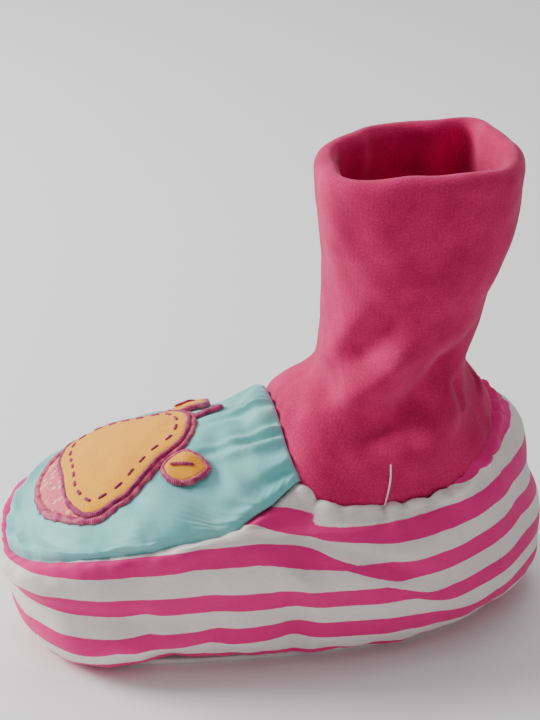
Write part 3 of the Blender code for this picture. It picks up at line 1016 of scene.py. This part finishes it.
def foot_layer(name, places, depths, material, vamp_side=False):
    """A layer of cloth or wadding between two depths below the foot's outer face."""
    turn, rise, faces, same = places
    outer, inner = (foot_points(turn, rise, depth, vamp_side)[0] for depth in depths)
    uv = outer[:, :2] if vamp_side else wall_uv(turn, rise)
    return layer_object(name, outer, inner, uv, faces, material, same)


def make_side_wall(material):
    return foot_layer("side_wall_cloth", wall_places(*WALL_GRID), SKIN, material)


def make_vamp(material):
    return foot_layer("vamp_cloth", vamp_places(*VAMP_GRID), SKIN, material, True)


def make_side_wadding(material):
    places = wall_places(
        *WALL_WADDING_GRID, WALL_WADDING_TOP, WALL_WADDING_BOTTOM, WALL_WADDING_MARGIN
    )
    return foot_layer("side_wadding", places, PADDING, material)


def make_vamp_wadding(material):
    places = vamp_places(*VAMP_WADDING_GRID, *VAMP_WADDING_SHARES, VAMP_WADDING_MARGIN)
    return foot_layer("vamp_wadding", places, PADDING, material, True)


def make_lining(material):
    """The lining is soft and smooth: it follows the slack of the cover but not its seams."""
    turn, rise, faces, same = ring_places(*LINING_GRID, *LINING_RISES)
    points = surface(FOOT, turn, rise) + slack(turn, rise)
    normal = surface_normals(FOOT, turn, rise)
    soft = 0.35 * wave_noise(points, 18, 51) * smoothstep(LINING_RISES[1], 0.8, rise)
    outer, inner = (points + (soft - depth)[:, None] * normal for depth in LINING)
    uv = wall_uv(turn, rise)
    return layer_object("foot_lining_cloth", outer, inner, uv, faces, material, same)


def make_elastic(material):
    places = ring_places(*ELASTIC_GRID, *ELASTIC_RISES)
    return foot_layer("ankle_elastic_band", places, ELASTIC, material)


# ---------------------------------------------------------------- cuff

CUFF_COLUMNS = 280
CUFF_ROWS = 150
RIM_ROWS = 10
INSIDE_ROWS = 70
INSIDE_END = 0.02  # rise where the turned-down part ends inside


def make_cuff(material):
    """One doubled tube of fleece: up the outside, over the rolled rim and down the inside."""
    turn_row = np.linspace(-math.pi, math.pi, CUFF_COLUMNS)
    rows = []
    uv_rows = []
    ups = CUFF_UP.at(turn_row, np.ones(CUFF_COLUMNS))
    around = np.sign(turn_row) * CUFF_ROUND.at(np.abs(turn_row), np.ones(CUFF_COLUMNS))
    for rise in np.linspace(0.0, 1.0, CUFF_ROWS):
        level = np.full(CUFF_COLUMNS, rise)
        points, _ = cuff_points(turn_row, level)
        rows.append(points)
        uv_rows.append(np.stack((around, CUFF_UP.at(turn_row, level)), 1))
    top, outward = cuff_points(turn_row, np.ones(CUFF_COLUMNS))
    up = np.array((0.0, 0.0, 1.0))
    radius = 0.5 * RIM_FLEECE
    wobble = 1 + 0.05 * ripple(around, 23, 61)
    for angle in np.linspace(0, math.pi, RIM_ROWS + 2)[1:-1]:
        roll = -radius * (1 - math.cos(angle))
        lift = radius * 1.15 * math.sin(angle) * wobble
        rows.append(top + roll * outward + lift[:, None] * up)
        uv_rows.append(np.stack((around, ups + radius * angle), 1))
    for rise in np.linspace(1.0, INSIDE_END, INSIDE_ROWS):
        level = np.full(CUFF_COLUMNS, rise)
        thickness = FLEECE + (RIM_FLEECE - FLEECE) * smoothstep(0.82, 0.97, rise)
        points, _ = cuff_points(turn_row, level, thickness)
        rows.append(points)
        down = ups - CUFF_UP.at(turn_row, level)
        uv_rows.append(np.stack((around, ups + radius * math.pi + down), 1))
    points = np.concatenate(rows)
    uv = np.concatenate(uv_rows)
    count = len(rows)
    faces = grid_faces(count, CUFF_COLUMNS)
    same = closed_round(count, CUFF_COLUMNS)
    points, corner_uv, faces = merged(points, uv, faces, same)
    around_count = CUFF_COLUMNS - 1
    last = (count - 1) * around_count
    j = np.arange(around_count)
    after = (j + 1) % around_count
    close = np.stack((j, after, last + after, last + j), 1)
    faces = np.concatenate((faces, close))
    corner_uv = np.concatenate((corner_uv, np.zeros((around_count, 4, 2))))
    return mesh_object("fleece_cuff", points, faces, corner_uv, material)


# ---------------------------------------------------------------- sole

SOLE_COLUMNS = 220
PAD_RINGS = 26
LEAST_SHARE = 0.004  # of a ring's size, at the middle of a pad
# Each pad's inset from the sole's edge, bottom, top, roundness of its edge and crown
OUTSOLE_INSET = 1.6
OUTSOLE = (OUTSOLE_INSET, 0.0, 1.5, 0.5, 0.0)
INSOLE = (5.6, 4.8, 6.3, 0.6, 0.5)


def sole_ring(inset):
    edge = FOOT[0]
    edge = edge._replace(toe=edge.toe - inset, heel=edge.heel - inset, half=edge.half - inset)
    return outline_points(edge, np.linspace(-math.pi, math.pi, SOLE_COLUMNS))[:, :2]


def pad_object(name, inset, bottom, top, roundness, crown, material):
    """A flat pad with rounded edges, its upper face a little crowned. Its under face is flat."""
    shares = np.maximum(np.linspace(0.0, 1.0, PAD_RINGS) ** 0.8, LEAST_SHARE)
    middle = np.array((MIDDLE_X - 2.0, 0.0))
    rings = [(share, bottom, roundness) for share in shares]
    for angle in np.linspace(-0.5 * math.pi, 0.5 * math.pi, 8)[1:-1]:
        z = 0.5 * (bottom + top) + 0.5 * (top - bottom) * math.sin(angle)
        rings.append((1.0, z, roundness * (1 - math.cos(angle))))
    rings += [(share, top + crown * (1 - share**4), roundness) for share in shares[::-1]]
    uv = [middle + (sole_ring(inset + shrink) - middle) * share for share, _, shrink in rings]
    height = np.repeat([z for _, z, _ in rings], SOLE_COLUMNS)
    uv = np.concatenate(uv)
    same = closed_round(len(rings), SOLE_COLUMNS)
    same[:SOLE_COLUMNS] = 0
    same[-SOLE_COLUMNS:] = same[-SOLE_COLUMNS]
    faces = grid_faces(len(rings), SOLE_COLUMNS)
    points, corner_uv, faces = merged(np.column_stack((uv, height)), uv, faces, same)
    return mesh_object(name, points, faces, corner_uv, material)


# ---------------------------------------------------------------- felt motif

MOTIF_Y = 3.0
# One side of the pear seen from above, toe end first: x, and how far from its middle line
PEAR_SIDE = ((-58.0, 0.0), (-55.5, 10.5), (-47.5, 18.8), (-38.0, 18.2), (-29.5, 12.0), (-22.8, 8.4))
PEAR_TIP_X = -19.5
FELT_TOE_X = -52.0
LEAF_SIZE = (5.4, 3.5)  # half its length and half its width
# Name, x and y of the middle, degrees it is turned, and how far its outer end stands off
LEAVES = (("leaf_near", -23.8, -13.0, -20.0, 0.4), ("leaf_far", -19.0, 13.8, 22.0, 0.5))


def closed_curve(points, steps):
    """Even points on a smooth closed curve through the given points."""
    corners = (np.roll(points, shift, axis=0)[:, None] for shift in (1, 0, -1, -2))
    shares = np.arange(steps)[:, None] / steps
    return spline(*corners, shares).reshape(-1, 2)


def pear_outline(toe_x=PEAR_SIDE[0][0], steps=16):
    side = [(max(x, toe_x), y) for x, y in PEAR_SIDE]
    corners = side + [(PEAR_TIP_X, 0.0)] + [(x, -y) for x, y in reversed(side[1:])]
    return closed_curve(corners, steps) + (0.0, MOTIF_Y)


def leaf_outline(x, y, angle, count=72):
    turn = math.radians(angle)
    a = np.linspace(0, TAU, count, endpoint=False)
    along = LEAF_SIZE[0] * np.cos(a)
    across = LEAF_SIZE[1] * np.sin(a) * np.abs(np.sin(a)) ** 0.4 * (1 - 0.15 * np.cos(a))
    return np.stack((
        x + along * math.cos(turn) - across * math.sin(turn),
        y + along * math.sin(turn) + across * math.cos(turn),
    ), 1)


def grown(outline, distance):
    """The closed outline moved outwards by a distance."""
    tangent = np.roll(outline, -1, axis=0) - np.roll(outline, 1, axis=0)
    outward = unit(np.stack((tangent[:, 1], -tangent[:, 0]), 1))
    centre = outline.mean(axis=0)
    if ((outline - centre) * outward).sum() < 0:
        outward = -outward
    return outline + distance * outward


def crossed(a, b):
    """Area between pairs of flat vectors."""
    return a[:, 0] * b[:, 1] - a[:, 1] * b[:, 0]


def vamp_turn_rise(plan):
    """Turn and rise of the foot surface under points given by x and y."""
    turn = np.arctan2(-plan[:, 1], -plan[:, 0] - 5.0)
    rise = np.full(len(plan), 0.8)
    step = 0.002
    for _ in range(30):
        here = surface(FOOT, turn, rise)[:, :2]
        by_turn = (surface(FOOT, turn + step, rise)[:, :2] - here) / step
        by_rise = (surface(FOOT, turn, rise + step)[:, :2] - here) / step
        gap = plan - here
        area = crossed(by_turn, by_rise)
        move_turn = crossed(gap, by_rise) / area
        move_rise = crossed(by_turn, gap) / area
        turn = turn + np.clip(move_turn, -0.15, 0.15)
        rise = np.clip(rise + np.clip(move_rise, -0.15, 0.15), 0.55, 0.985)
    return turn, rise


def on_vamp(plan, height):
    """Points this high above the finished vamp, over points given by x and y."""
    turn, rise = vamp_turn_rise(plan)
    points, normal = foot_points(turn, rise, 0.0, True)
    return points + np.asarray(height)[..., None] * normal


def patch_grid(outline, rings, thickness, base, puff, lift=None):
    """Upper and lower points of a patch of cloth on the vamp, from its middle to its edge."""
    middle = outline.mean(axis=0)
    shares = np.linspace(0.0, 1.0, rings)
    shares[0] = 0.01
    closed = looped(outline)
    plan = (middle + shares[:, None, None] * (closed - middle)).reshape(-1, 2)
    share = np.repeat(shares, len(closed))
    rounded = np.sqrt(np.clip(1 - ((share - 0.9) / 0.1).clip(0, 1) ** 2 * 0.75, 0, 1))
    height = base + thickness * rounded + puff * (1 - share**3)
    low = np.full(len(plan), base)
    if lift is not None:
        extra = lift(plan)
        height = height + extra
        low = low + extra
    return plan, on_vamp(plan, height), on_vamp(plan, low)


def patch_object(name, outline, rings, thickness, base, puff, material, lift=None):
    plan, high, low = patch_grid(outline, rings, thickness, base, puff, lift)
    columns = len(outline) + 1
    faces = grid_faces(rings, columns)[:, ::-1]
    same = closed_round(rings, columns)
    same[:columns] = 0
    return layer_object(name, high, low, plan, faces, material, same)


def edge_object(name, outline, width, base, height, material, lift=None, seed=71):
    """A rounded band of satin stitch that follows an outline, its width a little uneven."""
    closed = looped(outline)
    outward = looped(grown(outline, 1.0)) - closed
    along = lengths_along(closed)
    uneven = 1 + 0.16 * ripple(along, 3.7, seed) + 0.1 * ripple(along, 1.3, seed + 1)
    uneven[-1] = uneven[0]
    rows = []
    uv_rows = []
    profile = np.linspace(-1.0, 1.0, 11)
    section = [(offset, True) for offset in profile]
    section += [(offset, False) for offset in profile[-2:0:-1]]
    for offset, top in section:
        plan = closed + outward * (0.5 * width * offset * uneven)[:, None]
        bulge = math.sqrt(max(0.0, 1 - offset**2)) if top else 0.0
        level = base + height * bulge * (0.9 + 0.1 * uneven)
        if lift is not None:
            level = level + lift(plan)
        rows.append(on_vamp(plan, level))
        uv_rows.append(np.stack((along, np.full(len(along), offset * width)), 1))
    points, corner_uv, faces = tube(rows + rows[:1], uv_rows + uv_rows[:1], False)
    return mesh_object(name, points, faces, corner_uv, material)


def leaf_lift(x, y, angle, height):
    """The outer end of a leaf stands off the vamp."""
    turn = math.radians(angle)
    direction = np.array((math.cos(turn), math.sin(turn)))

    def lift(plan):
        along = (plan - (x, y)) @ direction
        return height * smoothstep(-LEAF_SIZE[0], LEAF_SIZE[0], along)

    return lift


def stitch_mesh(path, width, height, base):
    """A thin rounded strip of thread over the vamp, as points, texture places and faces."""
    path = np.array(path, float)
    rows = []
    uv_rows = []
    tangent = unit(np.gradient(path, axis=0))
    across = np.stack((-tangent[:, 1], tangent[:, 0]), 1)
    along = lengths_along(path)
    taper = np.sqrt(np.clip(1 - (2 * along / along[-1] - 1) ** 8, 0.05, 1))
    for angle in np.linspace(0, TAU, TUBE_SIDES + 1):
        offset = 0.5 * width * math.cos(angle)
        level = base + height * max(math.sin(angle), -0.3) * taper
        rows.append(on_vamp(path + across * (offset * taper)[:, None], level))
        uv_rows.append(np.stack((along, np.full(len(path), offset)), 1))
    return tube(rows, uv_rows, True)


def stitches_object(name, paths, width, height, base, material):
    """Several stitches as one piece."""
    points, corner_uv, faces = stitch_mesh(paths[0], width, height, base)
    for path in paths[1:]:
        new_points, new_uv, new_faces = stitch_mesh(path, width, height, base)
        faces = np.concatenate((faces, new_faces + len(points)))
        points = np.concatenate((points, new_points))
        corner_uv = np.concatenate((corner_uv, new_uv))
    piece = mesh_object(name, points, faces, corner_uv, material)
    return piece


# Height of the felt's underside over the vamp, and its thickness
FELT_BASE = 0.75
FELT_THICK = 0.9


def make_motif(felt, printed, edge, line):
    """The applique: print backing, felt body, leaves and their stitching."""
    pear = pear_outline()
    backing = patch_object("pear_print", pear, 14, 0.5, 0.12, 0.15, printed)
    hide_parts("pear_backing")
    felt_edge = grown(pear_outline(FELT_TOE_X), -0.5)
    body = patch_object("pear_felt_body", felt_edge, 20, FELT_THICK, FELT_BASE, 0.5, felt)
    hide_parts("pear_felt")
    border = edge_object("pear_edge_stitch", grown(pear, 0.2), 2.0, 0.02, 0.95, edge)
    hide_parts("pear_satin_edge")
    inner = edge_object("pear_inner_stitch", grown(felt_edge, -0.1), 1.3, 0.8, 0.9, line, seed=81)
    pieces = [backing, body, border, inner]
    for name, x, y, angle, height in LEAVES:
        outline = leaf_outline(x, y, angle)
        lift = leaf_lift(x, y, angle, height)
        leaf = patch_object(name + "_felt", outline, 10, 1.0, 0.25, 0.3, felt, lift)
        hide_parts(name)
        rim = edge_object(name + "_stitch", outline, 1.5, 0.2, 1.2, edge, lift, seed=91)
        pieces += [leaf, rim]
    top = FELT_BASE + FELT_THICK
    stitch_rows = (
        ("pear_running_stitch", dashes(felt_edge), 0.8, 0.4, top + 0.2),
        ("pear_stem", [stem_path()], 1.7, 0.8, 0.4),
        ("leaf_veins", [vein_path(*leaf[1:4]) for leaf in LEAVES], 0.7, 0.5, 1.9),
    )
    for name, paths, width, height, base in stitch_rows:
        pieces.append(stitches_object(name, paths, width, height, base, line))
    for piece in pieces:
        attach(piece, "foot")


# Length, pitch and inset of the running stitches
DASH = 2.4
DASH_PITCH = 4.0
DASH_INSET = 3.0


def dashes(outline):
    """Short stitches at an even pitch inside an outline."""
    closed = looped(grown(outline, -DASH_INSET))
    along = lengths_along(closed)
    paths = []
    for start in np.linspace(0, along[-1], int(along[-1] / DASH_PITCH) + 1)[:-1]:
        places = start + np.linspace(0, DASH, 8)
        paths.append(np.stack([np.interp(places, along, closed[:, k]) for k in (0, 1)], 1))
    return paths


def stem_path():
    t = np.linspace(0, 1, 24)
    return np.stack((PEAR_TIP_X + 8.0 * t, MOTIF_Y + 1.6 * t**2), 1)


def vein_path(x, y, angle):
    turn = math.radians(angle)
    s = np.linspace(-3.6, 2.6, 20)
    return np.stack((x + s * math.cos(turn), y + s * math.sin(turn)), 1)


# ---------------------------------------------------------------- loose thread


THREAD_TURN = 78.3  # degrees
THREAD_RISES = (0.004, 0.132)
THREAD_RADIUS = 0.2


def make_loose_thread(material):
    """A short end of seam thread that lies up the cuff from the ankle seam."""
    t = np.linspace(0, 1, 40)
    turn = np.radians(THREAD_TURN + 0.9 * np.sin(3.1 * t) - 1.4 * t)
    low, high = THREAD_RISES
    points, normal = cuff_points(turn, low + (high - low) * t, -0.45)
    points = points + (0.5 * np.sin(2.4 * t) + 0.2)[:, None] * normal
    rows = []
    uv_rows = []
    tangent = unit(np.gradient(points, axis=0))
    across = unit(np.cross(tangent, normal))
    lift = np.cross(across, tangent)
    radius = THREAD_RADIUS * np.sqrt(np.clip(1 - (2 * t - 1) ** 12, 0.02, 1))
    for angle in np.linspace(0, TAU, TUBE_SIDES + 1):
        rows.append(points + radius[:, None] * (math.cos(angle) * across + math.sin(angle) * lift))
        uv_rows.append(np.stack((10 * t, np.full(len(t), angle * THREAD_RADIUS)), 1))
    points, corner_uv, faces = tube(rows, uv_rows, True)
    return mesh_object("loose_thread_end", points, faces, corner_uv, material)


# ---------------------------------------------------------------- studio


def make_camera():
    azimuth = math.radians(-11.3)
    elevation = math.radians(27.9)
    distance = 0.420
    target = (MIDDLE_X * MM, 0.0, 0.060)
    camera = bpy.data.cameras.new("camera")
    camera.lens = 86.3
    camera.sensor_width = 36.0
    camera.shift_x = -0.009
    camera.shift_y = 0.042
    camera.clip_start = 0.01
    camera.clip_end = 20.0
    obj = bpy.data.objects.new("camera", camera)
    back = (
        math.sin(azimuth) * math.cos(elevation),
        -math.cos(azimuth) * math.cos(elevation),
        math.sin(elevation),
    )
    obj.location = tuple(t + distance * b for t, b in zip(target, back))
    obj.rotation_euler = (0.5 * math.pi - elevation, 0.0, azimuth)
    bpy.context.scene.collection.objects.link(obj)
    bpy.context.scene.camera = obj


# Name, place, aim, size and power of each light
LIGHTS = (
    ("key", (-0.82, 0.36, 0.52), (0, 0, 0.06), 0.42, 16.0),
    ("front_fill", (0.15, -0.9, 0.45), (0, 0, 0.05), 0.9, 0.9),
    ("top", (0.0, 0.3, 1.0), (0, 0, 0.05), 0.8, 4.6),
)


def area_light(name, place, aim, size, power):
    light = bpy.data.lights.new(name, "AREA")
    light.size = size
    light.energy = power
    obj = bpy.data.objects.new(name, light)
    obj.location = place
    direction = np.array(aim) - np.array(place)
    flat = math.hypot(direction[0], direction[1])
    obj.rotation_euler = (
        math.pi / 2 + math.atan2(direction[2], flat),
        0.0,
        math.atan2(direction[1], direction[0]) - math.pi / 2,
    )
    bpy.context.scene.collection.objects.link(obj)


def make_studio():
    for light in LIGHTS:
        area_light(*light)
    world = bpy.data.worlds.new("studio")
    world.use_nodes = True
    background = world.node_tree.nodes["Background"]
    background.inputs["Color"].default_value = (0.95, 0.96, 1.0, 1)
    background.inputs["Strength"].default_value = 0.28
    bpy.context.scene.world = world
    size = 3.0
    mesh = bpy.data.meshes.new("floor")
    corners = [(-size, -size, 0), (size, -size, 0), (size, size, 0), (-size, size, 0)]
    mesh.from_pydata(corners, [], [(0, 1, 2, 3)])
    look = Look("pale_floor", roughness=0.9)
    tone = look.noise(look.object_place(), 3.0, 2)
    look.colour(look.ramp(tone, ((0.3, (0.92, 0.92, 0.92)), (0.7, (0.94, 0.94, 0.94)))))
    mesh.materials.append(look.material)
    floor = bpy.data.objects.new("floor", mesh)
    bpy.context.scene.collection.objects.link(floor)


# ---------------------------------------------------------------- putting it together


def finish_piece(piece, node):
    """The piece stands for a CAD node, which it hides, and rides on the foot."""
    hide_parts(node)
    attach(piece, "foot")


def main():
    make_camera()
    make_studio()
    wadding = fibre_look("white_wadding", (0.85, 0.85, 0.83))
    lining = fleece_look("lining_fleece", (0.60, 0.022, 0.125), (0.76, 0.04, 0.19))
    fleece = fleece_look("pink_fleece", (0.50, 0.010, 0.092), (0.70, 0.024, 0.155))
    wall = make_side_wall(striped_look())
    finish_piece(wall, "side_wall")
    vamp = make_vamp(satin_look())
    finish_piece(vamp, "vamp_panel")
    finish_piece(make_side_wadding(wadding), "side_padding")
    finish_piece(make_vamp_wadding(wadding), "vamp_padding")
    finish_piece(make_lining(lining), "foot_lining")
    elastic = make_elastic(plain_cloth_look("elastic_white", (0.86, 0.86, 0.84), 0.8))
    finish_piece(elastic, "ankle_elastic")
    sole_cotton = plain_cloth_look("sole_cotton", (0.80, 0.78, 0.76))
    outsole = pad_object("outsole_cloth", *OUTSOLE, sole_cotton)
    finish_piece(outsole, "outsole")
    sole_ring(OUTSOLE_INSET)
    insole = pad_object("insole_cushion", *INSOLE, lining)
    finish_piece(insole, "insole")
    foam_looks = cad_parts["sole_foam"].data.materials
    foam_looks.clear()
    foam_looks.append(fibre_look("foam_board", (0.82, 0.80, 0.74), 1500.0))
    thread_dark = thread_look("satin_thread", (0.46, 0.02, 0.14), (0.80, 0.17, 0.24))
    thread_line = thread_look("line_thread", (0.26, 0.01, 0.10), (0.58, 0.05, 0.17), 0.45)
    make_motif(felt_look(), print_look(), thread_dark, thread_line)
    thread = make_loose_thread(plain_cloth_look("white_thread", (0.86, 0.72, 0.75), 0.3))
    finish_piece(thread, "loose_thread")
    cuff = make_cuff(fleece)
    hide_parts("cuff_lower", "cuff_fold", "cuff_upper")
    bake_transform(cuff)


main()
